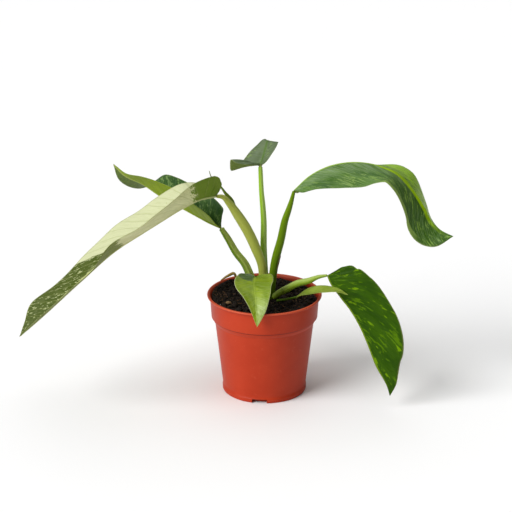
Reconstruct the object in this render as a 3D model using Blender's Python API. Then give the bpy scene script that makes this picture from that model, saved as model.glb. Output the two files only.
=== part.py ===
"""Potted philodendron: a nursery pot, its soil and a rosette of seven long leaves.

Every size is in millimetres, and MM turns it into metres when a mesh is made.
The plant is drawn from the soil surface up, so it follows the pot when the pot changes.
"""
import math

import bmesh
import bpy
import numpy as np

MM = 0.001
CLEARANCE = 0.4

# Nursery pot
POT_HEIGHT = 96.0
RIM_RADIUS = 54.0
LIP_OVERHANG = 2.7
LIP_HEIGHT = 1.9
LIP_WIDTH = 2.7
BAND_HEIGHT = 22.0
BAND_DRAFT = 1.2
SHOULDER_HEIGHT = 5.2
SHOULDER_INSET = 3.4
BASE_RADIUS = 39.4
FOOT_HEIGHT = 4.2
FOOT_STEP = 0.5
EDGE_BREAK = 0.5
WALL = 1.3
FLOOR = 2.4
SLOT_COUNT = 3
SLOT_WIDTH = 14.0
SLOT_HEIGHT = 4.0
SLOT_ANGLE = -97.0
POT_STEPS = 48

# Soil and crown
HEADSPACE = 7.0
SOIL_LUMPS = 1.3
SOIL_STEPS = 40
CROWN_CENTRE = (3.0, 0.5)
CROWN_RADIUS = 15.0
CROWN_DEPTH = 26.0
CROWN_TIP_RADIUS = 6.0
CROWN_TOP = 1.0

# Leaves
BLADE_THICKNESS = 0.8
MARGIN_THICKNESS = 0.5
RIB_THICKNESS = 2.0
RIB_WIDTH = 0.07
BLADE_ROWS = 25
STALK_SIDES = 10
STALK_RINGS = 12
STALK_FLATNESS = 0.85
SOIL_LEVEL = POT_HEIGHT - HEADSPACE

# The pot that the plant's points are drawn for, and the pieces that reach over its rim
DRAWN_RIM = 54.0
DRAWN_HEADSPACE = 7.0
DRAWN_LEVEL = 89.0
OVER_RIM = ("front", "dry_scale_leaf")

# Outline of half a blade, listed along its margin from the stalk to the tip. vein is where the
# side vein leaves the midrib and reach is where it meets the margin, both as shares of the blade's
# length. lobe is how far the margin lies behind the stalk, and out is its share of the half width.
OUTLINES = {
    "long": {
        "vein": (0, 0, 0.01, 0.04, 0.12, 0.26, 0.44, 0.66, 0.84, 1),
        "reach": (0, 0, 0, 0.03, 0.20, 0.38, 0.57, 0.76, 0.89, 1),
        "lobe": (0, 0.75, 1, 0.75, 0, 0, 0, 0, 0, 0),
        "out": (0, 0.22, 0.50, 0.82, 1, 0.98, 0.85, 0.57, 0.28, 0),
    },
    "broad": {
        "vein": (0, 0, 0.01, 0.04, 0.12, 0.26, 0.42, 0.60, 0.76, 0.90, 1),
        "reach": (0, 0, 0, 0.03, 0.20, 0.40, 0.60, 0.76, 0.88, 0.95, 1),
        "lobe": (0, 0.75, 1, 0.75, 0, 0, 0, 0, 0, 0, 0),
        "out": (0, 0.22, 0.50, 0.82, 1, 0.99, 0.92, 0.78, 0.55, 0.28, 0),
    },
    "blunt": {
        "vein": (0, 0, 0.01, 0.04, 0.12, 0.26, 0.42, 0.60, 0.76, 0.90, 1),
        "reach": (0, 0, 0, 0.03, 0.20, 0.40, 0.60, 0.76, 0.88, 0.95, 1),
        "lobe": (0, 0.75, 1, 0.75, 0, 0, 0, 0, 0, 0, 0),
        "out": (0, 0.22, 0.50, 0.82, 1, 1, 0.92, 0.86, 0.78, 0.48, 0),
    },
    "heart": {
        "vein": (0, 0, 0, 0.02, 0.08, 0.20, 0.38, 0.60, 0.82, 1),
        "reach": (0, 0, 0, 0, 0.14, 0.32, 0.51, 0.72, 0.88, 1),
        "lobe": (0, 0.8, 1, 0.72, 0, 0, 0, 0, 0, 0),
        "out": (0, 0.22, 0.54, 0.86, 1, 0.90, 0.66, 0.38, 0.16, 0),
    },
    "eared": {
        "vein": (0, 0, 0, 0.02, 0.12, 0.30, 0.52, 0.75, 1),
        "reach": (0, 0, 0, 0.05, 0.24, 0.45, 0.66, 0.84, 1),
        "lobe": (0, 0.8, 1, 0.6, 0, 0, 0, 0, 0),
        "out": (0, 0.50, 0.90, 1, 0.52, 0.24, 0.14, 0.08, 0),
        "out_right": (0, 0.15, 0.26, 0.36, 0.42, 0.42, 0.37, 0.22, 0),
    },
    "lance": {
        "vein": (0, 0.02, 0.10, 0.24, 0.42, 0.62, 0.82, 1),
        "reach": (0, 0.12, 0.27, 0.42, 0.58, 0.75, 0.89, 1),
        "lobe": (0, 0, 0, 0, 0, 0, 0, 0),
        "out": (0.12, 0.55, 0.88, 1, 0.92, 0.64, 0.30, 0),
    },
}

# Right and left are as seen from above, looking from the stalk to the tip. The fold lists give how
# many degrees each half rises from level, at even steps from the stalk to the tip.
LEAVES = {
    "large_left": {
        "stalk": ((-1, 1, 2), (-1.5, 0, 16), (-3, -2, 38), (-8, -2, 52), (-16, -4, 71), (-25, -6, 87),
                  (-32, -8, 98), (-39, -11, 106), (-45, -13, 107)),
        "stalk_radii": (3.6, 4.6, 5.6, 5.2, 1.7),
        "midrib": ((-45, -13, 107), (-59, -16, 105), (-75, -20, 98), (-95, -26, 87), (-114, -31, 76),
                   (-134, -36, 64), (-168, -46, 36), (-205, -54, 3), (-224, -58, -13)),
        "outline": "broad", "half_width": 34, "lobe": 12, "lobe_share": (0.2, 0.5),
        "out_right": (0, 0.22, 0.5, 0.82, 0.92, 0.93, 0.76, 0.6, 0.63, 0.26, 0),
        "fold_right": (0, 22, 20, 17, 16, 15, 15, 18, 24, 30, 35),
        "fold_left": (62, 46, 37, 31, 33, 30, 21, 22, 24, 25, 25),
    },
    "back_left": {
        "stalk": ((-8, 5, 2), (-10, 6, 12), (-14, 8, 22), (-19, 12, 32), (-27, 17, 41), (-34, 22, 52),
                  (-41, 26, 63)),
        "stalk_radii": (3.8, 3.8, 3.4, 2.8),
        "midrib": ((-41, 26, 63), (-52, 29, 67), (-61, 32, 71), (-77, 38, 78), (-99, 46, 88),
                   (-116, 52, 98), (-133, 57, 105), (-144, 61, 115)),
        "outline": "long", "half_width": 30, "lobe": 12, "lobe_share": (-0.3, -0.8),
        "out_right": (0, 0.2, 0.4, 0.62, 0.78, 0.82, 0.86, 0.78, 0.46, 0),
        "fold_right": (75, 70, 66, 63, 60, 58, 56, 54, 52, 48, 44, 38, 32, 18, -20, -34, -42, -50, -58, -60, -60),
        "fold_left": (34, 40, 48, 50, 38, 44),
    },
    "top": {
        "stalk": ((2, 9.5, 2), (0, 9.5, 26), (-1, 9.5, 47), (-1, 10, 76), (-3, 12, 105), (-4, 14, 128)),
        "stalk_radii": (3.4, 3.2, 2.7, 2.2),
        "midrib": ((-4, 14, 128), (-1.5, 24, 132.5), (1, 36, 138.5), (2.5, 46, 141.5), (3.5, 54, 140.5),
                   (4, 62, 133), (4, 68, 124)),
        "outline": "eared", "half_width": 26, "lobe": 24, "lobe_share": (0, 1),
        "rail_left": ((-4, 14, 128), (-8, 10, 130), (-15, 6, 131.5), (-20, 5, 132), (-27, 5, 133.5),
                      (-31, 7, 136), (-32, 10, 131), (-31, 14, 123), (-25, 20, 124), (-20, 26, 129.5),
                      (-13.5, 38, 134.5), (-7, 48, 138), (-1.5, 56, 141), (2, 62, 138), (4, 68, 124)),
        "rail_vein": (0, 0, 0, 0, 0, 0, 0, 0.01, 0.03, 0.08, 0.25, 0.45, 0.62, 0.8, 1), "arch": 2,
        "fold_right": (40, 30, 12, -8, -35, -60), "fold_left": (8, 5, 0, -10),
    },
    "large_right": {
        "stalk": ((6, -1, 2), (7, -2, 14), (8, -3, 28), (10, -3, 41), (15, -3, 61), (19, -3, 81),
                  (23, -2, 93), (27, -2, 109)),
        "stalk_radii": (3.6, 4.5, 4.4, 3.7, 1.8),
        "midrib": ((27, -2, 109), (42, 2, 122), (60, 6, 130), (85, 8, 133), (106, 6, 130), (120, 2, 125),
                   (129, -3, 118), (138, -8, 108), (147, -13, 95), (152, -16, 85), (161, -21, 77),
                   (172, -27, 73)),
        "outline": "blunt", "half_width": 31, "lobe": 8, "lobe_share": (-0.4, 0),
        "out_right": (0, 0.1, 0.28, 0.52, 0.86, 1, 0.92, 0.82, 0.82, 0.56, 0),
        "vein": (0, 0, 0, 0.005, 0.04, 0.13, 0.28, 0.44, 0.62, 0.8, 1),
        "fold_right": (-4, -30, -24, -2, -28, -50), "fold_left": (-35, -38, -25, -2, -18, -25),
    },
    "low_right": {
        "stalk": ((14, -3.5, 5), (17, -6, 10.5), (21, -9, 14.5), (29.5, -13, 21), (42, -18, 26.5), (49, -21, 31),
                  (58, -24, 34)),
        "stalk_radii": (3.2, 3.6, 3.6, 2.8, 1.3),
        "midrib": ((58, -24, 34), (60, -26, 29), (70, -31, 15), (79, -35, 4), (88, -39, -11),
                   (94, -42, -24), (104, -46, -49), (114, -48, -67), (117, -48, -77)),
        "outline": "long", "half_width": 37, "lobe": 8, "lobe_share": (-1, 0.3), "right_share": 0.8,
        "out_left": (0, 0.3, 0.47, 0.76, 0.94, 0.98, 0.95, 0.71, 0.34, 0),
        "vein": (0, 0, 0, 0.005, 0.03, 0.09, 0.2, 0.38, 0.62, 1),
        "fold_right": (-170, -170, -170, -170, -165, -160), "fold_left": (62, 62, 62, 62, 62, 60),
    },
    "front": {
        "stalk": ((-1, -7.5, 2), (-2, -8, 11), (-6, -14, 22), (-9, -20, 30)),
        "stalk_radii": (2.3, 2.2, 1.6),
        "midrib": ((-9, -20, 30), (-10, -30, 27), (-9, -44, 19), (-8, -56, 9), (-7, -62, -2)),
        "outline": "heart", "half_width": 18, "lobe": 7, "lobe_share": (0.6, 0.7), "curl": (1.5, 0.5),
        "out_left": (0, 0.24, 0.56, 0.88, 1, 0.9, 0.8, 0.58, 0.27, 0),
        "out_right": (0, 0.22, 0.5, 0.84, 1, 0.92, 0.62, 0.3, 0.13, 0),
        "fold_right": (0, 14, 10), "fold_left": (4, 14, 10),
    },
    "small_right": {
        "stalk": ((11.5, -8, 2.6), (19, -10, 4.4), (30, -13, 8)),
        "stalk_radii": (1.2, 1.3, 1.2),
        "midrib": ((30, -13, 8), (38, -19, 14), (47, -27, 19), (57, -35, 23), (67, -41, 25), (76, -45, 23)),
        "outline": "lance", "half_width": 7, "lobe": 0, "lobe_share": (0, 0),
        "fold_right": (0, 0, 0, 0), "fold_left": (35, 40, 30, 30),
    },
}

# Dry and loose bits: centre line, radius at even steps along it, and thickness over width
BITS = {
    "sheath_tip": (((-30, -2, 101), (-36, -3, 107), (-40, -4, 113), (-45, -4, 119), (-49, -4, 123),
                    (-51, -4, 129)), (1.5, 1.0, 0.4), 0.6),
    "dry_scale_leaf": (((-25, 34, 2.4), (-27, 36, 9), (-29, 36, 13), (-35, 33.5, 11.5), (-42, 29, 8.6)),
                       (1.0, 1.6, 2.4, 2.4, 0.6), 0.3),
    "dry_sheath_strip": (((11.5, -9, 33), (13, -9, 40), (15, -9, 48)), (0.7, 1.1, 0.6), 0.5),
    "bark_chip": (((-38, -22, 2.4), (-33, -20, 3.2), (-28, -19, 2.6)), (1.2, 2.2, 1.0), 0.5),
}

COLOURS = {
    "terracotta_plastic": ((0.52, 0.085, 0.04), 0.42),
    "potting_soil": ((0.018, 0.013, 0.009), 0.95),
    "crown_skin": ((0.09, 0.13, 0.03), 0.7),
    "stalk_green": ((0.20, 0.34, 0.05), 0.45),
    "stalk_pale": ((0.36, 0.42, 0.12), 0.5),
    "leaf_green": ((0.05, 0.15, 0.025), 0.35),
    "leaf_cream": ((0.60, 0.64, 0.36), 0.4),
    "leaf_lime": ((0.30, 0.42, 0.07), 0.4),
    "dry_tan": ((0.42, 0.30, 0.10), 0.85),
    "dry_brown": ((0.10, 0.055, 0.02), 0.9),
}


def clear_scene():
    """Remove everything that the file opens with."""
    for thing in list(bpy.data.objects):
        bpy.data.objects.remove(thing, do_unlink=True)


def material(name):
    """Return the named material, made on its first use."""
    if name in bpy.data.materials:
        return bpy.data.materials[name]
    colour, roughness = COLOURS[name]
    made = bpy.data.materials.new(name)
    made.use_nodes = True
    shader = made.node_tree.nodes["Principled BSDF"]
    shader.inputs["Base Color"].default_value = (*colour, 1.0)
    shader.inputs["Roughness"].default_value = roughness
    made.diffuse_color = (*colour, 1.0)
    return made


def add_object(name, bm, material_name, parent=None, turn_faces=True):
    """Turn a bmesh into one named object with one material."""
    bmesh.ops.remove_doubles(bm, verts=bm.verts, dist=0.001 * MM)
    bmesh.ops.triangulate(bm, faces=bm.faces)
    if turn_faces:
        bmesh.ops.recalc_face_normals(bm, faces=bm.faces)
    mesh = bpy.data.meshes.new(name)
    bm.to_mesh(mesh)
    bm.free()
    mesh.materials.append(material(material_name))
    thing = bpy.data.objects.new(name, mesh)
    bpy.context.collection.objects.link(thing)
    thing.parent = parent
    return thing


def spline(values, at, knots=None):
    """Read smoothly between listed values; at runs from 0 to 1 unless knots are given."""
    values = np.asarray(values, float)
    knots = np.linspace(0, 1, len(values)) if knots is None else knots
    slopes = np.gradient(values, knots, axis=0)
    span = np.clip(np.searchsorted(knots, at, "right") - 1, 0, len(knots) - 2)
    width = knots[span + 1] - knots[span]
    t = np.clip((at - knots[span]) / width, 0, 1)
    if values.ndim > 1:
        t = t[..., None]
        width = width[..., None]
    start = (2 * t**3 - 3 * t**2 + 1) * values[span] + (t**3 - 2 * t**2 + t) * width * slopes[span]
    end = (3 * t**2 - 2 * t**3) * values[span + 1] + (t**3 - t**2) * width * slopes[span + 1]
    return start + end


def unit(vectors):
    """Scale vectors to length one."""
    return vectors / np.linalg.norm(vectors, axis=-1, keepdims=True)


class Spine:
    """A smooth line through points, with a right and an up direction carried along it."""

    def __init__(self, points, samples=120):
        points = np.asarray(points, float)
        chord = np.concatenate(([0], np.cumsum(np.linalg.norm(np.diff(points, axis=0), axis=1))))
        fine = spline(points, np.linspace(0, chord[-1], samples * 4), chord)
        arc = np.concatenate(([0], np.cumsum(np.linalg.norm(np.diff(fine, axis=0), axis=1))))
        self.length = arc[-1]
        self.at = np.linspace(0, self.length, samples)
        self.points = np.stack([np.interp(self.at, arc, fine[:, axis]) for axis in range(3)], 1)
        self.forward = unit(np.gradient(self.points, self.at, axis=0))
        right = unit(np.cross(self.forward[0], (0, 0, 1)))
        rights = [right]
        for forward in self.forward[1:]:
            right = unit(right - forward * (right @ forward))
            rights.append(right)
        self.right = np.array(rights)

    def read(self, distance):
        """Give the point and the forward, right and up directions at a distance along the line."""
        inside = np.clip(distance, 0, self.length)

        def sample(rows):
            return np.stack([np.interp(inside, self.at, rows[:, axis]) for axis in range(3)], -1)

        forward = unit(sample(self.forward))
        right = unit(sample(self.right))
        point = sample(self.points) + forward * (distance - inside)[..., None]
        return point, forward, right, np.cross(right, forward)


def lathe(profile, steps):
    """Spin a profile of (radius, height) about the vertical axis into a closed body."""
    bm = bmesh.new()
    verts = [bm.verts.new((radius * MM, 0, height * MM)) for radius, height in profile]
    edges = [bm.edges.new(pair) for pair in zip(verts, verts[1:])]
    bmesh.ops.spin(bm, geom=verts + edges, axis=(0, 0, 1), cent=(0, 0, 0), angle=math.tau, steps=steps,
                   use_merge=True)
    bmesh.ops.remove_doubles(bm, verts=bm.verts, dist=0.001 * MM)
    return bm


def pot_outline():
    """Heights and outer radii of the pot's wall, from the floor up to under the lip."""
    band_top = RIM_RADIUS - LIP_OVERHANG
    band_foot = band_top - BAND_DRAFT
    crease = POT_HEIGHT - BAND_HEIGHT
    shoulder = crease - SHOULDER_HEIGHT
    return ((BASE_RADIUS, FOOT_HEIGHT + FOOT_STEP), (band_foot - SHOULDER_INSET, shoulder),
            (band_foot, crease), (band_top, POT_HEIGHT - LIP_HEIGHT))


def build_pot():
    """Thin tapered pot with a stepped band, a rolled lip and slots round the foot."""
    wall = pot_outline()
    outside = [(0, 0), (BASE_RADIUS + FOOT_STEP - EDGE_BREAK, 0), (BASE_RADIUS + FOOT_STEP, EDGE_BREAK),
               (BASE_RADIUS + FOOT_STEP, FOOT_HEIGHT), *wall]
    lip = [(RIM_RADIUS - EDGE_BREAK, POT_HEIGHT - LIP_HEIGHT + EDGE_BREAK / 2),
           (RIM_RADIUS, POT_HEIGHT - LIP_HEIGHT + 2 * EDGE_BREAK),
           (RIM_RADIUS - EDGE_BREAK, POT_HEIGHT), (RIM_RADIUS - LIP_WIDTH + EDGE_BREAK, POT_HEIGHT),
           (RIM_RADIUS - LIP_WIDTH, POT_HEIGHT - EDGE_BREAK)]
    inside = [(wall[3][0] - WALL, POT_HEIGHT - LIP_HEIGHT - WALL)]
    inside += [(radius - WALL, height) for radius, height in reversed(wall[1:3])]
    inside += [(BASE_RADIUS - WALL, FLOOR), (0, FLOOR)]
    pot = add_object("pot", lathe(outside + lip + inside, POT_STEPS), "terracotta_plastic")

    slots = bmesh.new()
    for index in range(SLOT_COUNT):
        angle = math.radians(SLOT_ANGLE + 360 / SLOT_COUNT * index)
        made = bmesh.ops.create_cube(slots, size=1)["verts"]
        bmesh.ops.scale(slots, verts=made, vec=(14 * MM, SLOT_WIDTH * MM, 2 * SLOT_HEIGHT * MM))
        bmesh.ops.translate(slots, verts=made, vec=((BASE_RADIUS + 2) * MM, 0, 0))
        turn = ((math.cos(angle), -math.sin(angle), 0), (math.sin(angle), math.cos(angle), 0), (0, 0, 1))
        for vert in made:
            vert.co = [sum(row[axis] * vert.co[axis] for axis in range(3)) for row in turn]
    cutter = add_object("slot_cutter", slots, "terracotta_plastic")
    cutter.hide_render = True
    cutter.display_type = "WIRE"
    cut = pot.modifiers.new("foot_slots", "BOOLEAN")
    cut.operation = "DIFFERENCE"
    cut.solver = "EXACT"
    cut.object = cutter
    return pot


def build_soil():
    """Potting soil that fills the pot, with a lumpy top and a pocket for the crown."""
    wall = [(radius - WALL - CLEARANCE, height) for radius, height in pot_outline()]
    slope = (wall[3][0] - wall[2][0]) / (wall[3][1] - wall[2][1])
    edge = wall[2][0] + slope * (SOIL_LEVEL - wall[2][1])
    pocket = CROWN_RADIUS + CLEARANCE
    profile = [(0, FLOOR + CLEARANCE), (wall[0][0], FLOOR + CLEARANCE), *wall[1:3], (edge, SOIL_LEVEL - 1)]
    profile += [(edge + (pocket - edge) * share, SOIL_LEVEL) for share in (0.12, 0.3, 0.5, 0.7, 0.86)]
    profile += [(pocket, SOIL_LEVEL - 0.5), (pocket, SOIL_LEVEL - CROWN_DEPTH / 3),
                (CROWN_TIP_RADIUS + CLEARANCE, SOIL_LEVEL - CROWN_DEPTH - CLEARANCE),
                (0, SOIL_LEVEL - CROWN_DEPTH - CLEARANCE)]
    bm = lathe(profile, SOIL_STEPS)
    draw = np.random.default_rng(4)
    waves = draw.uniform(-1, 1, (7, 4))
    for vert in bm.verts:
        x, y = vert.co.x / MM, vert.co.y / MM
        radius = math.hypot(x, y)
        if radius < pocket + 0.01 and vert.co.z < (SOIL_LEVEL - 0.1) * MM and vert.co.z > 2 * FLOOR * MM:
            vert.co.x += CROWN_CENTRE[0] * MM
            vert.co.y += CROWN_CENTRE[1] * MM
        elif vert.co.z > (SOIL_LEVEL - 0.1) * MM:
            inner = (edge - radius) / (edge - pocket)
            vert.co.x += CROWN_CENTRE[0] * inner * MM
            vert.co.y += CROWN_CENTRE[1] * inner * MM
            lump = sum(math.sin(0.16 * (a * x + b * y) * 2 + 3 * c) * d for a, b, c, d in waves)
            vert.co.z += SOIL_LUMPS * max(-1, min(1, lump / 2)) * (1 - inner**3) * MM
    return add_object("soil", bm, "potting_soil")


def build_crown(plant):
    """Short buried stem that all the leaf stalks stand on."""
    top = CROWN_TOP
    profile = [(0, top), (CROWN_RADIUS * 0.8, top), (CROWN_RADIUS, top - 2), (CROWN_RADIUS, -CROWN_DEPTH / 3),
               (CROWN_TIP_RADIUS, -CROWN_DEPTH), (0, -CROWN_DEPTH)]
    crown = add_object("crown", lathe(profile, 24), "crown_skin", plant)
    crown.location = (CROWN_CENTRE[0] * MM, CROWN_CENTRE[1] * MM, 0)
    return crown


def build_rod(name, points, radii, flatness, material_name, plant, trim=0.0, rings=STALK_RINGS):
    """Round or flattened rod along a line, cut short by trim at its far end."""
    spine = Spine(points)
    distance = np.linspace(0, spine.length - trim, rings)
    point, _, right, up = spine.read(distance)
    radius = spline(radii, distance / spine.length)
    bm = bmesh.new()
    loops = []
    for ring in range(rings):
        loop = []
        for side in range(STALK_SIDES):
            angle = math.tau * side / STALK_SIDES
            place = right[ring] * math.cos(angle) + up[ring] * math.sin(angle) * flatness
            loop.append(bm.verts.new((point[ring] + place * radius[ring]) * MM))
        loops.append(loop)
    for loop, following in zip(loops, loops[1:]):
        for side in range(STALK_SIDES):
            other = (side + 1) % STALK_SIDES
            bm.faces.new((loop[side], loop[other], following[other], following[side]))
    bm.faces.new(loops[0])
    bm.faces.new(loops[-1])
    return add_object(name, bm, material_name, plant)


def blade_half(leaf, spine, side, columns):
    """Mid surface and normals of one half of a blade, as rows along the margin."""
    outline = OUTLINES[leaf["outline"]]
    sign = 1 if side == "right" else -1
    along = np.linspace(0, 1, BLADE_ROWS)
    half = leaf["half_width"]
    lobe = leaf["lobe"] * leaf["lobe_share"][0 if sign > 0 else 1]
    vein = spline(leaf.get("vein", outline["vein"]), along) * spine.length
    reach = spline(outline["reach"], along) * spine.length - spline(outline["lobe"], along) * lobe
    out = leaf.get("out_" + side, outline.get("out_" + side, outline["out"]))
    out = spline(out, along) * half
    if sign > 0:
        out = out * leaf.get("right_share", 1)
    distance = vein[:, None] + (reach - vein)[:, None] * columns**1.25
    across = out[:, None] * columns
    fold = np.radians(spline(leaf["fold_" + side], np.clip(distance / spine.length, 0, 1)))
    point, _, right, up = spine.read(distance)
    outward = right * (sign * np.cos(fold))[..., None] + up * np.sin(fold)[..., None]
    normal = up * np.cos(fold)[..., None] - right * (sign * np.sin(fold))[..., None]
    surface = point + outward * across[..., None]
    if "rail_" + side in leaf:
        start = spine.read(spline(leaf["rail_vein"], along) * spine.length)[0][:, None]
        end = spline(leaf["rail_" + side], along)[:, None]
        arch = leaf["arch"] * np.sin(math.pi * columns) * np.clip((0.75 - along) * 3, 0, 1)[:, None]
        surface = start + (end - start) * columns[:, None] + np.array((0, 0, 1)) * arch[..., None]
        facing = np.cross(np.gradient(surface, axis=0), np.gradient(surface, axis=1))
        facing[:, 0] = facing[:, 1]
        facing[0], facing[-1] = facing[1], facing[-2]
        normal = unit(facing) * -sign
    if "curl" in leaf:
        curl = leaf["curl"][0 if sign > 0 else 1] * columns**4 * np.clip((0.95 - along) * 4, 0, 1)[:, None]
        surface = surface + normal * curl[..., None]
    return surface, normal


def build_blade(name, leaf, material_name, plant):
    """Closed thin blade, thickest along its midrib."""
    columns = np.array((0, RIB_WIDTH, 0.38, 0.7, 1.0))
    spine = Spine(leaf["midrib"])
    right, right_normal = blade_half(leaf, spine, "right", columns)
    left, left_normal = blade_half(leaf, spine, "left", columns)
    middle_normal = unit(right_normal[:, :1] + left_normal[:, :1])
    surface = np.concatenate((left[:, :0:-1], right), 1)
    normal = np.concatenate((left_normal[:, :0:-1], middle_normal, right_normal[:, 1:]), 1)
    if "arch" in leaf:
        normal[0] = unit(normal[0].mean(0))
    share = np.abs(np.arange(-4, 5))
    rib = np.linspace(RIB_THICKNESS, MARGIN_THICKNESS, BLADE_ROWS)[:, None]
    thickness = np.where(share == 0, rib, BLADE_THICKNESS) * np.ones_like(surface[..., 0])
    thickness[:, [0, -1]] = MARGIN_THICKNESS
    thickness[-1] = MARGIN_THICKNESS
    offset = normal * (thickness / 2)[..., None]
    bm = bmesh.new()
    sheets = []
    for sheet in (surface + offset, surface - offset):
        sheets.append([[bm.verts.new(place * MM) for place in row] for row in sheet])
    top, bottom = sheets
    last = surface.shape[1] - 1
    for row in range(BLADE_ROWS - 1):
        ahead = row + 1
        for column in range(last):
            beside = column + 1
            bm.faces.new((top[row][column], top[row][beside], top[ahead][beside], top[ahead][column]))
            bm.faces.new((bottom[ahead][column], bottom[ahead][beside], bottom[row][beside],
                          bottom[row][column]))
        bm.faces.new((top[row][0], top[ahead][0], bottom[ahead][0], bottom[row][0]))
        bm.faces.new((bottom[row][last], bottom[ahead][last], top[ahead][last], top[row][last]))
    for column in range(last):
        beside = column + 1
        bm.faces.new((bottom[0][column], bottom[0][beside], top[0][beside], top[0][column]))
        bm.faces.new((top[-1][column], top[-1][beside], bottom[-1][beside], bottom[-1][column]))
    return add_object(name, bm, material_name, plant, turn_faces=False)


def fit_to_pot(name, points):
    """Move drawn points with the pot: over a wider rim, a deeper headspace or down to its floor."""
    points = np.array(points, float)
    rise = HEADSPACE / DRAWN_HEADSPACE if name in OVER_RIM else 1.0
    points[:, 2] *= np.where(points[:, 2] > 0, rise, SOIL_LEVEL / DRAWN_LEVEL)
    if name in OVER_RIM:
        points[:, :2] *= RIM_RADIUS / DRAWN_RIM
    return points


def build_plant():
    """Crown, stalks, blades and loose bits, all measured from the soil surface."""
    plant = bpy.data.objects.new("plant", None)
    plant.location = (0, 0, SOIL_LEVEL * MM)
    bpy.context.collection.objects.link(plant)
    build_crown(plant)
    blades = {"large_left": "leaf_cream", "front": "leaf_lime", "small_right": "leaf_lime"}
    pale = ("large_left", "low_right")
    for name, leaf in LEAVES.items():
        trim = leaf["stalk_radii"][-1] + 3 * CLEARANCE
        leaf = {**leaf, "midrib": fit_to_pot(name, leaf["midrib"])}
        build_rod("stalk_" + name, fit_to_pot(name, leaf["stalk"]), leaf["stalk_radii"], STALK_FLATNESS,
                  "stalk_pale" if name in pale else "stalk_green", plant, trim)
        build_blade("leaf_" + name, leaf, blades.get(name, "leaf_green"), plant)
    shades = {"sheath_tip": "stalk_green", "dry_scale_leaf": "dry_tan", "bark_chip": "dry_tan"}
    for name, (points, radii, flatness) in BITS.items():
        build_rod(name, fit_to_pot(name, points), radii, flatness, shades.get(name, "dry_brown"), plant, rings=8)


def main():
    clear_scene()
    build_pot()
    build_soil()
    build_plant()


main()
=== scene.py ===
import math
from types import SimpleNamespace

import bmesh
import bpy
import numpy as np
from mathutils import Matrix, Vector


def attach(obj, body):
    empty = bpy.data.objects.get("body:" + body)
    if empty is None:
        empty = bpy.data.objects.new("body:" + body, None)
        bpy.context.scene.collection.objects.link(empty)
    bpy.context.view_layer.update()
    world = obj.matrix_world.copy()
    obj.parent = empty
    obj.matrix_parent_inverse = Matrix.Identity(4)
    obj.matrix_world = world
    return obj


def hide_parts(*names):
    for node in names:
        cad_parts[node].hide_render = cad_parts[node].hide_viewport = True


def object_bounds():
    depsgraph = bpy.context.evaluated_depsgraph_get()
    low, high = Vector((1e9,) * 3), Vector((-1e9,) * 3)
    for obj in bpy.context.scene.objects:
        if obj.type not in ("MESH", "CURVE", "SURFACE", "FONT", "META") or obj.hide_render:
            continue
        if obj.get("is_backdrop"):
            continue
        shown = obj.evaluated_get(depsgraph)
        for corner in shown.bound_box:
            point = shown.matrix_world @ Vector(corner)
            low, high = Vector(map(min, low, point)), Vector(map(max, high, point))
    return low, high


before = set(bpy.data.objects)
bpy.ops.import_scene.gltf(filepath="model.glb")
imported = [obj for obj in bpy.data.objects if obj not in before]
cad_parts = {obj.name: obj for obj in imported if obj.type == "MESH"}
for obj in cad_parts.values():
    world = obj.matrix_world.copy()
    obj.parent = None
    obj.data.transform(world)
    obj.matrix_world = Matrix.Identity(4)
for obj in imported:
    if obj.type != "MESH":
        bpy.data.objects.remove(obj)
CAD_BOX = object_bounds()

MM = 0.001

# Sizes of the pot and the soil, in millimetres, as in the CAD
POT_HEIGHT = 96.0
RIM_RADIUS = 54.0
LIP_OVERHANG = 2.7
LIP_HEIGHT = 1.9
BAND_HEIGHT = 22.0
BAND_DRAFT = 1.2
SHOULDER_HEIGHT = 5.2
SHOULDER_INSET = 3.4
BASE_RADIUS = 39.4
FOOT_HEIGHT = 4.2
FOOT_STEP = 0.5
WALL = 1.3
FLOOR = 2.4
SLOT_COUNT = 3
SLOT_WIDTH = 14.0
SLOT_HEIGHT = 4.0
SLOT_ANGLE = -97.0
SOIL_LEVEL = 89.0
SOIL_TILT = 0.06
SOIL_RADIUS = 50.0
SLOT_DEPTH = 14.0

# Pleats along a blade, and the length in millimetres over which a stalk changes colour
PLEATS = 17
STALK_FADE = 90.0

# Camera and lights, in metres and degrees
CAMERA_PLACE = (-0.008, -1.4897, 0.6798)
CAMERA_PITCH = 20.15
CAMERA_LENS = 119.43
SENSOR_WIDTH = 36.0
FLOOR_REACH = 6.0

# Lists that the broad and the blunt outline have in common
BROAD = {
    "vein": (0, 0, 0.01, 0.04, 0.12, 0.26, 0.42, 0.60, 0.76, 0.90, 1),
    "reach": (0, 0, 0, 0.03, 0.20, 0.40, 0.60, 0.76, 0.88, 0.95, 1),
    "lobe": (0, 0.75, 1, 0.75, 0, 0, 0, 0, 0, 0, 0),
}

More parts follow.
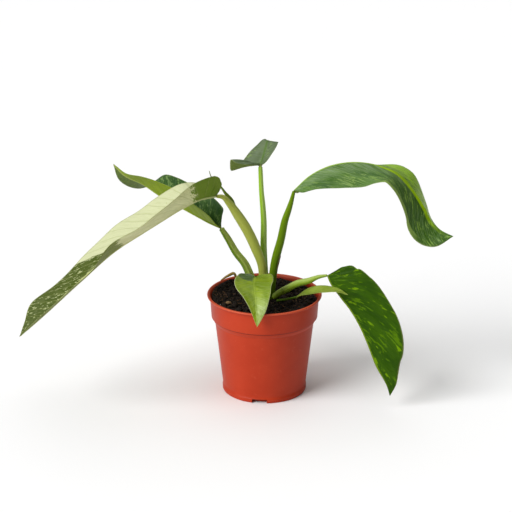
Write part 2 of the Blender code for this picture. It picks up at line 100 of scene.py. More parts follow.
# Outline of half a blade along its margin: where the side vein leaves the midrib, where it reaches
# the margin, how far behind the stalk it lies, and its share of the half width.
OUTLINES = {
    "long": {
        "vein": (0, 0, 0.01, 0.04, 0.12, 0.26, 0.44, 0.66, 0.84, 1),
        "reach": (0, 0, 0, 0.03, 0.20, 0.38, 0.57, 0.76, 0.89, 1),
        "lobe": (0, 0.75, 1, 0.75, 0, 0, 0, 0, 0, 0),
        "out": (0, 0.22, 0.50, 0.82, 1, 0.98, 0.85, 0.57, 0.28, 0),
    },
    "broad": {**BROAD, "out": (0, 0.22, 0.50, 0.82, 1, 0.99, 0.92, 0.78, 0.55, 0.28, 0)},
    "blunt": {**BROAD, "out": (0, 0.22, 0.50, 0.82, 1, 1, 0.92, 0.86, 0.78, 0.48, 0)},
    "heart": {
        "vein": (0, 0, 0, 0.02, 0.08, 0.20, 0.38, 0.60, 0.82, 1),
        "reach": (0, 0, 0, 0, 0.14, 0.32, 0.51, 0.72, 0.88, 1),
        "lobe": (0, 0.8, 1, 0.72, 0, 0, 0, 0, 0, 0),
        "out": (0, 0.22, 0.54, 0.86, 1, 0.90, 0.66, 0.38, 0.16, 0),
    },
    "eared": {
        "vein": (0, 0, 0, 0.02, 0.12, 0.30, 0.52, 0.75, 1),
        "reach": (0, 0, 0, 0.05, 0.24, 0.45, 0.66, 0.84, 1),
        "lobe": (0, 0.8, 1, 0.6, 0, 0, 0, 0, 0),
        "out": (0, 0.50, 0.90, 1, 0.52, 0.24, 0.14, 0.08, 0),
        "out_right": (0, 0.15, 0.26, 0.36, 0.42, 0.42, 0.37, 0.22, 0),
    },
    "lance": {
        "vein": (0, 0.02, 0.10, 0.24, 0.42, 0.62, 0.82, 1),
        "reach": (0, 0.12, 0.27, 0.42, 0.58, 0.75, 0.89, 1),
        "lobe": (0, 0, 0, 0, 0, 0, 0, 0),
        "out": (0.12, 0.55, 0.88, 1, 0.92, 0.64, 0.30, 0),
    },
}

# Each leaf has the line and radii of its stalk, the line of its midrib, and the outline, width and fold
# in degrees of each half. Optional: out_ and vein replace the outline's own lists, rail_ is a margin that
# leaves the midrib at the shares in rail_vein, arch lifts the blade between them, and curl turns up the
# margin of each half. The wave is a ripple's height, count and phase.
LEAVES = {
    "large_left": {
        "stalk": ((-1, 1, 2), (-1.5, 0, 16), (-3, -2, 38), (-8, -2, 52), (-16, -4, 71), (-25, -6, 87),
                  (-32, -8, 98), (-39, -11, 106), (-45, -13, 107)),
        "stalk_radii": (3.6, 4.6, 5.6, 5.2, 1.7),
        "midrib": ((-45, -13, 107), (-59, -16, 105), (-75, -20, 98), (-95, -26, 87), (-114, -31, 76),
                   (-134, -36, 64), (-168, -46, 36), (-205, -54, 3), (-224, -58, -13)),
        "outline": "broad", "half_width": 34, "lobe": 12, "lobe_share": (0.2, 0.5),
        "out_right": (0, 0.22, 0.5, 0.82, 0.92, 0.93, 0.76, 0.6, 0.63, 0.26, 0),
        "fold_right": (0, 22, 20, 17, 16, 15, 15, 18, 24, 30, 35),
        "fold_left": (62, 46, 37, 31, 33, 30, 21, 22, 24, 25, 25),
        "wave": (0.9, 5, 0.5),
    },
    "back_left": {
        "stalk": ((-8, 5, 2), (-10, 6, 12), (-14, 8, 22), (-19, 12, 32), (-27, 17, 41), (-34, 22, 52),
                  (-41, 26, 63)),
        "stalk_radii": (3.8, 3.8, 3.4, 2.8),
        "midrib": ((-41, 26, 63), (-52, 29, 67), (-61, 32, 71), (-77, 38, 78), (-99, 46, 88),
                   (-116, 52, 98), (-133, 57, 105), (-144, 61, 115)),
        "outline": "long", "half_width": 30, "lobe": 12, "lobe_share": (-0.3, -0.8),
        "out_right": (0, 0.2, 0.4, 0.62, 0.78, 0.82, 0.86, 0.78, 0.46, 0),
        "fold_right": (75, 70, 66, 63, 60, 58, 56, 54, 52, 48, 44, 38, 32, 18, -20, -34, -42, -50, -58,
                       -60, -60),
        "fold_left": (34, 40, 48, 50, 38, 44),
        "wave": (0.6, 3, 1.0),
    },
    "top": {
        "stalk": ((2, 9.5, 2), (0, 9.5, 26), (-1, 9.5, 47), (-1, 10, 76), (-3, 12, 105), (-4, 14, 128)),
        "stalk_radii": (3.4, 3.2, 2.7, 2.2),
        "midrib": ((-4, 14, 128), (-1.5, 24, 132.5), (1, 36, 138.5), (2.5, 46, 141.5), (3.5, 54, 140.5),
                   (4, 62, 133), (4, 68, 124)),
        "outline": "eared", "half_width": 26, "lobe": 24, "lobe_share": (0, 1),
        "rail_left": ((-4, 14, 128), (-8, 10, 130), (-15, 6, 131.5), (-20, 5, 132), (-27, 5, 133.5),
                      (-31, 7, 136), (-32, 10, 131), (-31, 14, 123), (-25, 20, 124), (-20, 26, 129.5),
                      (-13.5, 38, 134.5), (-7, 48, 138), (-1.5, 56, 141), (2, 62, 138), (4, 68, 124)),
        "rail_vein": (0, 0, 0, 0, 0, 0, 0, 0.01, 0.03, 0.08, 0.25, 0.45, 0.62, 0.8, 1), "arch": 2,
        "fold_right": (40, 30, 12, -8, -35, -60), "fold_left": (8, 5, 0, -10),
        "wave": (0.4, 2, 0.0),
    },
    "large_right": {
        "stalk": ((6, -1, 2), (7, -2, 14), (8, -3, 28), (10, -3, 41), (15, -3, 61), (19, -3, 81),
                  (23, -2, 93), (27, -2, 109)),
        "stalk_radii": (3.6, 4.5, 4.4, 3.7, 1.8),
        "midrib": ((27, -2, 109), (42, 2, 122), (60, 6, 130), (85, 8, 133), (106, 6, 130), (120, 2, 125),
                   (129, -3, 118), (138, -8, 108), (147, -13, 95), (152, -16, 85), (161, -21, 77),
                   (172, -27, 73)),
        "outline": "blunt", "half_width": 31, "lobe": 8, "lobe_share": (-0.4, 0),
        "out_right": (0, 0.1, 0.28, 0.52, 0.86, 1, 0.92, 0.82, 0.82, 0.56, 0),
        "vein": (0, 0, 0, 0.005, 0.04, 0.13, 0.28, 0.44, 0.62, 0.8, 1),
        "fold_right": (-4, -30, -24, -2, -28, -50), "fold_left": (-35, -38, -25, -2, -18, -25),
        "wave": (0.7, 4, 0.8),
    },
    "low_right": {
        "stalk": ((9, -2.5, 4.5), (14.5, -5.5, 9.5), (21, -9, 14.5), (29.5, -13, 21), (42, -18, 26.5),
                  (49, -21, 31), (58, -24, 34)),
        "stalk_radii": (3.6, 3.8, 3.4, 2.8, 1.3),
        "midrib": ((58, -24, 34), (60, -26, 29), (70, -31, 15), (79, -35, 4), (88, -39, -11),
                   (94, -42, -24), (104, -46, -49), (114, -48, -67), (117, -48, -77)),
        "outline": "long", "half_width": 37, "lobe": 8, "lobe_share": (-1, 0.3), "right_share": 0.8,
        "out_left": (0, 0.3, 0.47, 0.76, 0.94, 0.98, 0.95, 0.71, 0.34, 0),
        "vein": (0, 0, 0, 0.005, 0.03, 0.09, 0.2, 0.38, 0.62, 1),
        "fold_right": (-170, -170, -170, -170, -165, -160), "fold_left": (62, 62, 62, 62, 62, 60),
        "wave": (0.5, 4, 0.3),
    },
    "front": {
        "stalk": ((-1, -7.5, 2), (-2, -8, 11), (-6, -14, 22), (-9, -20, 30)),
        "stalk_radii": (2.3, 2.2, 1.6),
        "midrib": ((-9, -20, 30), (-10, -30, 27), (-9, -44, 19), (-8, -56, 9), (-7, -62, -2)),
        "outline": "heart", "half_width": 18, "lobe": 7, "lobe_share": (0.6, 0.7), "curl": (1.5, 0.5),
        "out_left": (0, 0.24, 0.56, 0.88, 1, 0.9, 0.8, 0.58, 0.27, 0),
        "out_right": (0, 0.22, 0.5, 0.84, 1, 0.92, 0.62, 0.3, 0.13, 0),
        "fold_right": (0, 14, 10), "fold_left": (4, 14, 10),
        "wave": (0.4, 2, 1.2),
    },
    "small_right": {
        "stalk": ((11.5, -8, 2.6), (19, -10, 4.4), (30, -13, 8)),
        "stalk_radii": (1.2, 1.3, 1.2),
        "midrib": ((30, -13, 8), (38, -19, 14), (47, -27, 19), (57, -35, 23), (67, -41, 25), (76, -45, 23)),
        "outline": "lance", "half_width": 7, "lobe": 0, "lobe_share": (0, 0),
        "fold_right": (0, 0, 0, 0), "fold_left": (35, 40, 30, 30),
        "wave": (0.2, 2, 0.0),
    },
}


def srgb(red, green, blue):
    """Turn 0 to 255 display values into the linear colour that shaders take."""
    values = np.array((red, green, blue)) / 255
    linear = np.where(values > 0.04045, ((values + 0.055) / 1.055) ** 2.4, values / 12.92)
    return (*linear.tolist(), 1.0)


class Shades:
    """A material whose nodes are added with short calls. A value may be a number or a socket."""

    def __init__(self, name):
        self.material = bpy.data.materials.new(name)
        self.material.use_nodes = True
        self.tree = self.material.node_tree
        self.shader = self.tree.nodes["Principled BSDF"]

    def put(self, socket, value):
        if isinstance(value, bpy.types.NodeSocket):
            self.tree.links.new(value, socket)
        else:
            socket.default_value = value

    def set(self, name, value):
        self.put(self.shader.inputs[name], value)

    def attribute(self, name):
        node = self.tree.nodes.new("ShaderNodeAttribute")
        node.attribute_name = name
        split = self.tree.nodes.new("ShaderNodeSeparateXYZ")
        self.tree.links.new(node.outputs["Vector"], split.inputs[0])
        return split.outputs[0], split.outputs[1], split.outputs[2]

    def place(self):
        return self.tree.nodes.new("ShaderNodeTexCoord").outputs["Object"]

    def split(self, vector):
        node = self.tree.nodes.new("ShaderNodeSeparateXYZ")
        self.put(node.inputs[0], vector)
        return node.outputs[0], node.outputs[1], node.outputs[2]

    def join(self, x, y, z=0.0):
        node = self.tree.nodes.new("ShaderNodeCombineXYZ")
        for socket, value in zip(node.inputs, (x, y, z)):
            self.put(socket, value)
        return node.outputs[0]

    def math(self, operation, a, b=0.0, c=0.0):
        node = self.tree.nodes.new("ShaderNodeMath")
        node.operation = operation
        for socket, value in zip(node.inputs, (a, b, c)):
            self.put(socket, value)
        return node.outputs[0]

    def add(self, a, b):
        return self.math("ADD", a, b)

    def times(self, a, b):
        return self.math("MULTIPLY", a, b)

    def sway(self, value, amount):
        """Turn a value around a half into one around nought, scaled by amount."""
        return self.times(self.add(value, -0.5), amount)

    def step(self, value, low, high):
        """Rise smoothly from 0 to 1 as value goes from low to high."""
        node = self.tree.nodes.new("ShaderNodeMapRange")
        node.interpolation_type = "SMOOTHSTEP"
        for socket, given in zip(node.inputs, (value, low, high, 0.0, 1.0)):
            self.put(socket, given)
        return node.outputs[0]

    def noise(self, vector, scale, detail=2.0, roughness=0.5):
        node = self.tree.nodes.new("ShaderNodeTexNoise")
        self.put(node.inputs["Vector"], vector)
        node.inputs["Scale"].default_value = scale
        node.inputs["Detail"].default_value = detail
        node.inputs["Roughness"].default_value = roughness
        return node.outputs["Fac"]

    def mix(self, factor, a, b):
        node = self.tree.nodes.new("ShaderNodeMix")
        node.data_type = "RGBA"
        self.put(node.inputs[0], factor)
        self.put(node.inputs[6], a)
        self.put(node.inputs[7], b)
        return node.outputs[2]

    def bump(self, height, distance, strength):
        node = self.tree.nodes.new("ShaderNodeBump")
        node.inputs["Distance"].default_value = distance
        node.inputs["Strength"].default_value = strength
        self.put(node.inputs["Height"], height)
        self.put(self.shader.inputs["Normal"], node.outputs[0])


def spline(values, at, knots=None):
    """Read smoothly between listed values; at runs from 0 to 1 unless knots are given."""
    values = np.asarray(values, float)
    knots = np.linspace(0, 1, len(values)) if knots is None else knots
    slopes = np.gradient(values, knots, axis=0)
    span = np.clip(np.searchsorted(knots, at, "right") - 1, 0, len(knots) - 2)
    width = knots[span + 1] - knots[span]
    t = np.clip((at - knots[span]) / width, 0, 1)
    if values.ndim > 1:
        t = t[..., None]
        width = width[..., None]
    start = (2 * t**3 - 3 * t**2 + 1) * values[span] + (t**3 - 2 * t**2 + t) * width * slopes[span]
    end = (3 * t**2 - 2 * t**3) * values[span + 1] + (t**3 - t**2) * width * slopes[span + 1]
    return start + end


def unit(vectors):
    """Scale vectors to length one."""
    return vectors / np.linalg.norm(vectors, axis=-1, keepdims=True)


class Spine:
    """A smooth line through points, with a right and an up direction carried along it."""

    def __init__(self, points, samples=400, lean=None):
        points = np.asarray(points, float)
        chord = np.concatenate(([0], np.cumsum(np.linalg.norm(np.diff(points, axis=0), axis=1))))
        fine = spline(points, np.linspace(0, chord[-1], samples * 4), chord)
        arc = np.concatenate(([0], np.cumsum(np.linalg.norm(np.diff(fine, axis=0), axis=1))))
        self.length = arc[-1]
        self.at = np.linspace(0, self.length, samples)
        self.points = np.stack([np.interp(self.at, arc, fine[:, axis]) for axis in range(3)], 1)
        self.forward = unit(np.gradient(self.points, self.at, axis=0))
        right = unit(np.cross(self.forward[0] if lean is None else lean, (0, 0, 1)))
        rights = []
        for forward in self.forward:
            right = unit(right - forward * (right @ forward))
            rights.append(right)
        self.right = np.array(rights)

    def read(self, distance):
        """Give the point and the forward, right and up directions at a distance along the line."""
        inside = np.clip(distance, 0, self.length)

        def sample(rows):
            return np.stack([np.interp(inside, self.at, rows[:, axis]) for axis in range(3)], -1)

        forward = unit(sample(self.forward))
        right = unit(sample(self.right))
        point = sample(self.points) + forward * (distance - inside)[..., None]
        return point, forward, right, np.cross(right, forward)


def add_object(name, data):
    """Make an object of its data and put it in the scene."""
    thing = bpy.data.objects.new(name, data)
    bpy.context.collection.objects.link(thing)
    return thing


def mesh_object(name, vertices, faces, material, attributes=None, smooth=True):
    """Make one object from numpy vertices in millimetres and faces as index rows."""
    mesh = bpy.data.meshes.new(name)
    mesh.from_pydata((np.asarray(vertices) * MM).tolist(), [], faces)
    for key, values in (attributes or {}).items():
        layer = mesh.attributes.new(key, "FLOAT_VECTOR", "POINT")
        layer.data.foreach_set("vector", np.asarray(values, np.float32).ravel())
    bm = bmesh.new()
    bm.from_mesh(mesh)
    bmesh.ops.remove_doubles(bm, verts=bm.verts, dist=0.0005 * MM)
    bm.to_mesh(mesh)
    bm.free()
    if smooth:
        mesh.shade_smooth()
    mesh.materials.append(material)
    return add_object(name, mesh)


def own(thing, slot, *nodes):
    """A visible piece: it rides the one body and stands for its CAD nodes, which are hidden."""
    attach(thing, "root")
    if nodes:
        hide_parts(*nodes)


def grid_faces(rows, columns, flip=False):
    """Index quads for a grid of rows by columns vertices."""
    first = (np.arange(rows - 1)[:, None] * columns + np.arange(columns - 1)[None, :]).ravel()
    quads = np.stack((first, first + 1, first + columns + 1, first + columns), 1)
    return quads[:, ::-1] if flip else quads


def tube_faces(rings, sides):
    """Index quads for rings of vertices that are joined into a tube."""
    row = np.arange(rings - 1)[:, None] * sides
    first = (row + np.arange(sides)).ravel()
    beside = (row + (np.arange(sides) + 1) % sides).ravel()
    return np.stack((first, beside, beside + sides, first + sides), 1)


def icosphere(level):
    """Vertices and faces of a ball of radius one."""
    ball = bmesh.new()
    bmesh.ops.create_icosphere(ball, subdivisions=level, radius=1.0)
    shape = np.array([vert.co[:] for vert in ball.verts])
    faces = np.array([[vert.index for vert in face.verts] for face in ball.faces])
    ball.free()
    return shape, faces


# ---------------------------------------------------------------- leaves

def blade_half(leaf, spine, side, rows, columns):
    """Mid surface, normals and pattern coordinates of one half of a blade."""
    outline = OUTLINES[leaf["outline"]]
    sign = 1 if side == "right" else -1
    along = np.linspace(0, 1, rows)
    half = leaf["half_width"]
    lobe = leaf["lobe"] * leaf["lobe_share"][0 if sign > 0 else 1]
    vein = spline(leaf.get("vein", outline["vein"]), along) * spine.length
    reach = spline(outline["reach"], along) * spine.length - spline(outline["lobe"], along) * lobe
    out = leaf.get("out_" + side, outline.get("out_" + side, outline["out"]))
    out = spline(out, along) * half
    if sign > 0:
        out = out * leaf.get("right_share", 1)
    distance = vein[:, None] + (reach - vein)[:, None] * columns**1.25
    across = out[:, None] * columns
    share = np.clip(distance / spine.length, 0, 1)
    fold = np.radians(spline(leaf["fold_" + side], share))
    point, _, right, up = spine.read(distance)
    outward = right * (sign * np.cos(fold))[..., None] + up * np.sin(fold)[..., None]
    normal = up * np.cos(fold)[..., None] - right * (sign * np.sin(fold))[..., None]
    surface = point + outward * across[..., None]
    if "rail_" + side in leaf:
        start = spine.read(spline(leaf["rail_vein"], along) * spine.length)[0][:, None]
        end = spline(leaf["rail_" + side], along)[:, None]
        arch = leaf["arch"] * np.sin(math.pi * columns) * np.clip((0.75 - along) * 3, 0, 1)[:, None]
        surface = start + (end - start) * columns[:, None] + np.array((0, 0, 1)) * arch[..., None]
        across = np.linalg.norm(surface - start, axis=-1)
        facing = np.cross(np.gradient(surface, axis=0), np.gradient(surface, axis=1))
        facing[:, 0] = facing[:, 1]
        facing[0], facing[-1] = facing[1], facing[-2]
        normal = unit(facing) * -sign
    if "curl" in leaf:
        curl = leaf["curl"][0 if sign > 0 else 1] * columns**4 * np.clip((0.95 - along) * 4, 0, 1)[:, None]
        surface = surface + normal * curl[..., None]
    height, count, phase = leaf["wave"]
    edge = (across / half) ** 2
    ripple = height * np.sin(math.tau * count * share + phase + sign) * edge * np.sin(math.pi * share)
    pleat = 0.005 * half * np.sin(math.tau * along * PLEATS)[:, None] * np.sin(math.pi * columns)
    surface = surface + normal * (ripple + pleat)[..., None]
    along = along[:, None] * np.ones_like(across)
    vein_place = np.stack((along * spine.length, sign * columns * half * np.ones_like(across)), -1)
    return surface, normal, vein_place, across, share, columns * np.ones_like(across)


def build_blade(name, leaf, material, rows=150, steps=30):
    """Closed thin blade with a rib under its midrib and a shallow groove above."""
    columns = np.linspace(0, 1, steps + 1) ** 1.45
    spine = Spine(leaf["midrib"])
    halves = [blade_half(leaf, spine, side, rows, columns) for side in ("left", "right")]
    joined = [np.concatenate((a[:, :0:-1], b), 1) for a, b in zip(*halves)]
    surface, normal, vein_place, across, share, margin = joined
    rib_reach = 1.0 + 1.1 * (1 - share)
    inside = np.sqrt(np.clip(1 - (across / rib_reach) ** 2, 0, 1))
    edge = np.clip((1 - margin) * 12, 0.25, 1)
    half = 0.28 * edge
    over = half + 0.25 * inside * (1 - 0.6 * share) * edge
    under = half + 0.9 * inside * (1 - 0.75 * share) * np.clip((1 - share) * 20, 0, 1)
    middle = surface.shape[1] // 2
    normal[:, middle] = unit(normal[:, middle - 1] + normal[:, middle + 1])
    top = surface + normal * over[..., None]
    bottom = surface - normal * under[..., None]
    count, width = surface.shape[0] * surface.shape[1], surface.shape[1]
    faces = [grid_faces(rows, width), grid_faces(rows, width, True) + count]
    for column, flip in ((0, False), (width - 1, True)):
        first = np.arange(rows - 1) * width + column
        wall = np.stack((first, first + width, first + width + count, first + count), 1)
        faces.append(wall[:, ::-1] if flip else wall)
    for row, flip in ((0, True), (rows - 1, False)):
        first = row * width + np.arange(width - 1)
        cap = np.stack((first, first + 1, first + 1 + count, first + count), 1)
        faces.append(cap[:, ::-1] if flip else cap)
    sheet = np.zeros_like(across)
    pattern = [np.concatenate((vein_place, (sheet + flag)[..., None]), -1) for flag in (0, 1)]
    measures = np.stack((across, share, margin), -1)
    thing = mesh_object(
        name, np.concatenate((top.reshape(-1, 3), bottom.reshape(-1, 3))), np.concatenate(faces).tolist(),
        material, {"veins": np.concatenate([p.reshape(-1, 3) for p in pattern]),
                   "blade": np.concatenate((measures.reshape(-1, 3),) * 2)})
    thing.location.z = SOIL_LEVEL * MM
    return thing


def leaf_pattern(s, look):
    """Places on a blade, and the noises, flecks and side veins that its colours are mixed by."""
    p = SimpleNamespace()
    p.along, p.across, p.under = s.attribute("veins")
    p.rib, p.share, p.margin = s.attribute("blade")

    def noise(length, width, shift, detail, roughness):
        place = s.join(s.times(p.along, length), s.times(p.across, width), look["seed"] + shift)
        return s.noise(place, 1.0, detail, roughness)

    p.noise = noise
    p.streak = noise(1.9, 0.10, 0, 3.0, 0.6)
    p.fine = noise(4.5, 0.25, 3, 2.0, 0.6)
    p.blotch = noise(0.075, 0.05, 7, 3.0, 0.65)
    p.wobble = noise(0.5, 0.12, 11, 2.0, 0.5)
    p.fleck_shape = noise(0.55, 0.13, 20, 3.0, 0.7)
    fleck_area = noise(0.09, 0.06, 31, 1.0, 0.5)
    density = look.get("flecks", 0.62)
    p.flecks = s.step(s.add(p.fleck_shape, s.sway(fleck_area, 0.5)), density, density + 0.05)
    veins = s.add(s.times(p.along, 1 / look.get("vein_gap", 7.0)), s.times(p.wobble, 0.25))
    p.vein = s.step(s.math("PINGPONG", veins, 0.5), 0.09, 0.0)
    width = s.add(look.get("rib_width", 1.7), s.times(s.step(p.share, 0.42, 0.55), look.get("rib_more", 0.0)))
    p.midrib = s.step(s.add(p.rib, s.times(width, -1.0)), 0.0, -0.7)
    p.rim = s.step(p.margin, 0.965, 0.995)
    return p


def paint_zones(s, p, look, top, bottom):
    """Zones that follow each other from stalk to tip, each behind a ragged edge, on both sides."""
    for edge, sweep, (first, second, speck, density), under in look.get("zones", ()):
        ragged = s.add(p.share, s.times(s.times(s.step(p.across, -1.0, 1.0), p.rib), -sweep))
        ragged = s.add(s.add(ragged, s.sway(p.streak, 0.055)), s.sway(p.wobble, 0.07))
        inside = s.step(ragged, edge - 0.004, edge + 0.004)
        zone = s.mix(s.times(s.step(p.fine, 0.35, 0.75), 0.5), first, second)
        zone = s.mix(s.step(p.fleck_shape, density, density + 0.04), zone, speck)
        top = s.mix(inside, top, zone)
        bottom = s.mix(inside, bottom, s.mix(s.step(p.blotch, 0.3, 0.7), *under))
    return top, bottom


def paint_patches(s, p, look, top):
    """Patches of the upper side that only some leaves have: lime is partly painted light, glow is a painted
    highlight and grey is a painted sheen.
    """
    blurred = s.add(p.share, s.sway(p.blotch, 0.1))
    # lime: the far half's own lime colour, made brighter as painted light shining through the half that faces
    # away from the key light
    if "lime" in look:
        colour, start, end = look["lime"]
        area = s.times(s.step(p.across, 0.5, -0.5), s.step(blurred, start, end))
        top = s.mix(area, top, s.mix(p.flecks, s.mix(s.step(p.streak, 0.3, 0.7), *colour), look["dark"]))
    if "end" in look:
        dark, pale, start, end = look["end"]
        area = s.times(s.step(p.across, -0.5, 0.5), s.step(blurred, start, end))
        top = s.mix(area, top, s.mix(s.times(p.flecks, 0.7), s.mix(s.step(p.streak, 0.3, 0.7), *dark), pale))
    if "glow" in look:
        colour, start, end = look["glow"]
        area = s.times(s.step(p.share, start, end), s.step(p.across, 3.0, -3.0))
        top = s.mix(s.times(area, s.step(p.blotch, 0.3, 0.6)), top, colour)
    # painted sheen: a grey-green sheen along the streaks on the inner part of the blade
    if "grey_sheen" in look:
        colour, start, end = look["grey_sheen"]
        area = s.times(s.step(p.margin, end, start), s.step(p.share, 0.75, 0.45))
        top = s.mix(s.times(area, 0.6), top, s.mix(s.step(p.streak, 0.4, 0.65), look["mid"], colour))
    if "strip" in look:
        colour, start = look["strip"]
        middle = s.times(s.step(p.share, 0.5, 0.56), s.step(p.share, 0.9, 0.84))
        area = s.times(s.step(p.margin, start, start + 0.02), middle)
        top = s.mix(s.times(area, s.step(p.across, -0.5, 0.5)), top, colour)
    if "dark_lobe" in look:
        colour, end = look["dark_lobe"]
        bowed = s.add(blurred, s.times(s.times(p.rib, p.rib), 0.0006))
        area = s.times(s.step(p.across, 0.0, 2.5), s.step(bowed, end, end - 0.02))
        top = s.mix(area, top, s.mix(s.step(p.streak, 0.35, 0.65), *colour))
    return top


def leaf_material(name, look):
    """Leaf skin: side veins, flecks that run along them, a pale midrib and a duller underside whose colours
    are partly painted light shining through the blade.
    """
    s = Shades(name)
    p = leaf_pattern(s, look)
    top = s.mix(s.step(p.blotch, 0.35, 0.65), look["dark"], look["mid"])
    top = s.mix(s.times(p.flecks, 0.8), top, look["fleck"])
    if "patch" in look:
        patch_shape = p.noise(0.13, 0.05, 47, 3.0, 0.65)
        top = s.mix(s.step(patch_shape, *look["patch_range"]), top, look["patch"])
    # underside colours: the leaf's own underside colour, made lighter as painted light shining through the
    # thin blade
    bottom = s.mix(s.step(p.blotch, 0.3, 0.7), look["under"], look["under_2"])
    top, bottom = paint_zones(s, p, look, top, bottom)
    top = paint_patches(s, p, look, top)
    top = s.mix(s.times(p.vein, look.get("vein_strength", 0.2)), top, look["vein"])
    top = s.mix(s.times(s.step(p.streak, 0.4, 0.8), 0.35), top, look["sheen"])
    top = s.mix(s.times(s.times(p.midrib, s.step(p.share, 1.0, 0.75)), 0.9), top, look["rib"])
    top = s.mix(s.times(p.rim, look.get("rim_strength", 0.5)), top, look["rim"])
    # painted shade: the far half's underside, which hangs down, is darker than the near half's
    if "under_far_shade" in look:
        far_shade = s.mix(s.step(p.streak, 0.35, 0.65), *look["under_far_shade"])
        bottom = s.mix(s.step(p.across, -1.0, 1.0), bottom, far_shade)
    bottom = s.mix(s.times(p.vein, 0.25), bottom, look["vein"])
    bottom = s.mix(s.times(s.step(p.streak, 0.35, 0.8), 0.3), bottom, look["under_streak"])
    bottom = s.mix(s.times(p.midrib, 0.6), bottom, look["under_rib"])
    bottom = s.mix(s.times(p.rim, 0.5), bottom, look["rim"])
    side = s.step(p.under, 0.4, 0.6)
    s.set("Base Color", s.mix(side, top, bottom))
    gloss = s.add(look.get("roughness", 0.42), s.sway(p.streak, 0.25))
    s.set("Roughness", s.add(gloss, s.times(side, 0.15)))
    s.set("Specular IOR Level", look.get("specular", 0.2))
    height = s.add(s.times(p.vein, -0.55), s.add(s.times(p.streak, 0.5), s.times(p.fine, 0.2)))
    grain = s.noise(s.place(), 900.0, 2.0, 0.5)
    s.bump(s.add(height, s.times(grain, 0.15)), 0.0005, look.get("relief", 0.5))
    return s.material


DEEP = srgb(58, 86, 22)
FRESH = srgb(78, 108, 30)
CREAM = srgb(192, 196, 154)
COMMON = {
    "dark": DEEP, "mid": FRESH, "fleck": srgb(128, 152, 62), "vein": srgb(96, 128, 48),
    "sheen": srgb(120, 146, 92), "rib": srgb(150, 166, 60), "rim": srgb(150, 160, 90),
    # the under colours are the underside's own colour, made lighter as painted light shining through the
    # blade
    "under": srgb(116, 132, 34), "under_2": srgb(128, 144, 44), "under_streak": srgb(104, 122, 28),
    "under_rib": srgb(160, 170, 90),
}
# Leaf colours. Optional: zones (where each starts, how far its edge sweeps back, two colours with specks
# and their density, two colours below), and the patches lime, end, glow, grey, strip and dark_lobe.
LOOKS = {
    "large_left": {
        "seed": 1.0, "dark": srgb(96, 124, 10), "mid": srgb(110, 134, 22), "specular": 0.14,
        "under": srgb(98, 124, 28), "under_2": srgb(108, 130, 42), "under_streak": srgb(90, 116, 26),
        "zones": (
            (0.085, -0.001, (CREAM, srgb(206, 209, 172), srgb(140, 150, 74), 0.70),
             (srgb(204, 206, 150), srgb(214, 216, 164))),
            (0.435, 0.0085, (srgb(56, 72, 4), srgb(76, 90, 20), srgb(186, 192, 140), 0.58),
             (srgb(104, 114, 34), srgb(112, 124, 42))),
        ),
        "sheen": srgb(156, 162, 106), "vein": srgb(150, 160, 90), "vein_strength": 0.35, "relief": 1.0,
        "rib": srgb(190, 194, 130), "under_rib": srgb(196, 200, 140), "rib_width": 1.9,
    },
    "back_left": {
        "seed": 5.0, "dark": srgb(34, 68, 18), "mid": srgb(56, 90, 30), "specular": 0.1,
        "fleck": srgb(110, 138, 74), "flecks": 0.56, "sheen": srgb(96, 124, 84), "vein_gap": 6.0,
        # under is partly painted light shining through the near half; the far underside colours are painted
        # shade, as that half faces down
        "under": srgb(110, 132, 0), "under_2": srgb(122, 142, 8),
        "under_far_shade": (srgb(70, 90, 34), srgb(88, 106, 50)),
    },
    "top": {
        "seed": 9.0, "dark": srgb(76, 94, 56), "mid": srgb(94, 110, 76),
        "fleck": srgb(122, 144, 84), "flecks": 0.6, "sheen": srgb(128, 142, 122), "vein_gap": 5.0,
        "under": srgb(108, 126, 52), "under_2": srgb(118, 134, 74), "rib": srgb(84, 112, 50),
    },
    "large_right": {
        "seed": 13.0, "dark": srgb(48, 86, 18), "mid": srgb(80, 114, 44), "specular": 0.1,
        "fleck": srgb(124, 152, 72), "flecks": 0.56, "sheen": srgb(150, 168, 140), "vein_gap": 7.5,
        "rib": srgb(142, 178, 0), "rib_width": 1.0, "rib_more": 2.6, "rim": srgb(150, 164, 100),
        "end": ((srgb(38, 72, 0), srgb(62, 98, 16)), srgb(134, 168, 66), 0.52, 0.66),
        # lime is partly painted light through the far half; grey is a painted sheen
        "lime": ((srgb(130, 178, 0), srgb(164, 200, 74)), 0.42, 0.5), "grey_sheen": (srgb(132, 154, 112), 0.3, 0.5),
        "strip": (srgb(124, 150, 66), 0.87),
    },
    "low_right": {
        "seed": 17.0, "dark": srgb(36, 68, 0), "mid": srgb(50, 84, 0), "specular": 0.06,
        "fleck": srgb(84, 122, 0), "flecks": 0.58, "patch": srgb(104, 142, 0), "patch_range": (0.60, 0.63),
        "sheen": srgb(64, 92, 36), "rib": srgb(110, 134, 30), "rib_width": 1.3, "vein": srgb(44, 72, 8),
        "vein_gap": 5.0,
    },
    "front": {
        "seed": 23.0, "dark": srgb(104, 128, 0), "mid": srgb(134, 156, 10),
        "glow": (srgb(158, 178, 100), 0.35, 0.8),
        "fleck": srgb(96, 124, 16), "flecks": 0.66, "sheen": srgb(150, 168, 96), "vein_gap": 4.0,
        "dark_lobe": ((srgb(40, 70, 10), srgb(66, 94, 34)), 0.14), "specular": 0.35, "roughness": 0.3,
        "vein_strength": 0.06,
        "rib": srgb(142, 164, 50), "rib_width": 0.7, "rim": srgb(204, 210, 160), "rim_strength": 0.8,
        "vein": srgb(124, 146, 30),
    },
    "small_right": {
        "seed": 29.0, "dark": srgb(112, 132, 32), "mid": srgb(134, 150, 56),
        "fleck": srgb(160, 170, 90), "flecks": 0.68, "sheen": srgb(150, 164, 84), "vein_gap": 3.0,
        "rib": srgb(100, 126, 30), "rib_width": 0.6,
    },
}


# ---------------------------------------------------------------- stalks

